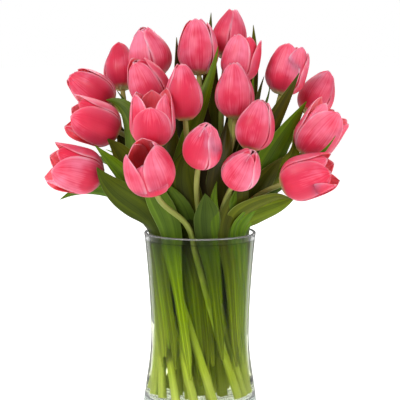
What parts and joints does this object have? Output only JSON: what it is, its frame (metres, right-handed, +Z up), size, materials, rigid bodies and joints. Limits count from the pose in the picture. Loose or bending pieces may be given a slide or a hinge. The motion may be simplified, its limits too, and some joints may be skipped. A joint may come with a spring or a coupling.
{
  "type": "tulips in a vase",
  "caption": "Full dome of pink cut tulips with long green leaves, standing in water in a waisted clear glass vase.",
  "frame": {"origin": "centre of the vase's flat underside, on the surface it stands on", "axes": "+Z up along the vase's axis; -Y is the front, where the lowest blooms lean out; +X is to the right seen from the front"},
  "size_m": [0.3192, 0.2168, 0.4234],
  "materials": {
    "glass": "clear polished pressed glass",
    "water": "clear still water",
    "stem": "living plant stem, smooth, pale green, satin",
    "petal": "living tulip petal, rose pink with paler edges, soft satin sheen",
    "leaf": "living tulip leaf, deep green with a bluish waxy bloom and fine parallel veins"
  },
  "bodies": {
    "root": {"stem_01": "stem", "stem_02": "stem", "stem_03": "stem", "stem_04": "stem", "stem_05": "stem", "stem_06": "stem", "stem_07": "stem", "stem_08": "stem", "stem_09": "stem", "stem_10": "stem", "stem_11": "stem", "stem_12": "stem", "stem_13": "stem", "stem_14": "stem", "stem_15": "stem", "stem_16": "stem", "stem_17": "stem", "stem_18": "stem", "stem_19": "stem", "stem_20": "stem", "bloom_01": "petal", "bloom_02": "petal", "bloom_03": "petal", "bloom_04": "petal", "bloom_05": "petal", "bloom_06": "petal", "bloom_07": "petal", "bloom_08": "petal", "bloom_09": "petal", "bloom_10": "petal", "bloom_11": "petal", "bloom_12": "petal", "bloom_13": "petal", "bloom_14": "petal", "bloom_15": "petal", "bloom_16": "petal", "bloom_17": "petal", "bloom_18": "petal", "bloom_19": "petal", "bloom_20": "petal", "leaf_01": "leaf", "leaf_02": "leaf", "leaf_03": "leaf", "leaf_04": "leaf", "leaf_05": "leaf", "leaf_06": "leaf", "leaf_07": "leaf", "leaf_08": "leaf", "leaf_09": "leaf", "leaf_10": "leaf", "leaf_11": "leaf", "leaf_12": "leaf", "leaf_13": "leaf", "leaf_14": "leaf", "leaf_15": "leaf", "leaf_16": "leaf", "leaf_17": "leaf", "leaf_18": "leaf", "water": "water", "vase": "glass"}
  },
  "joints": []
}
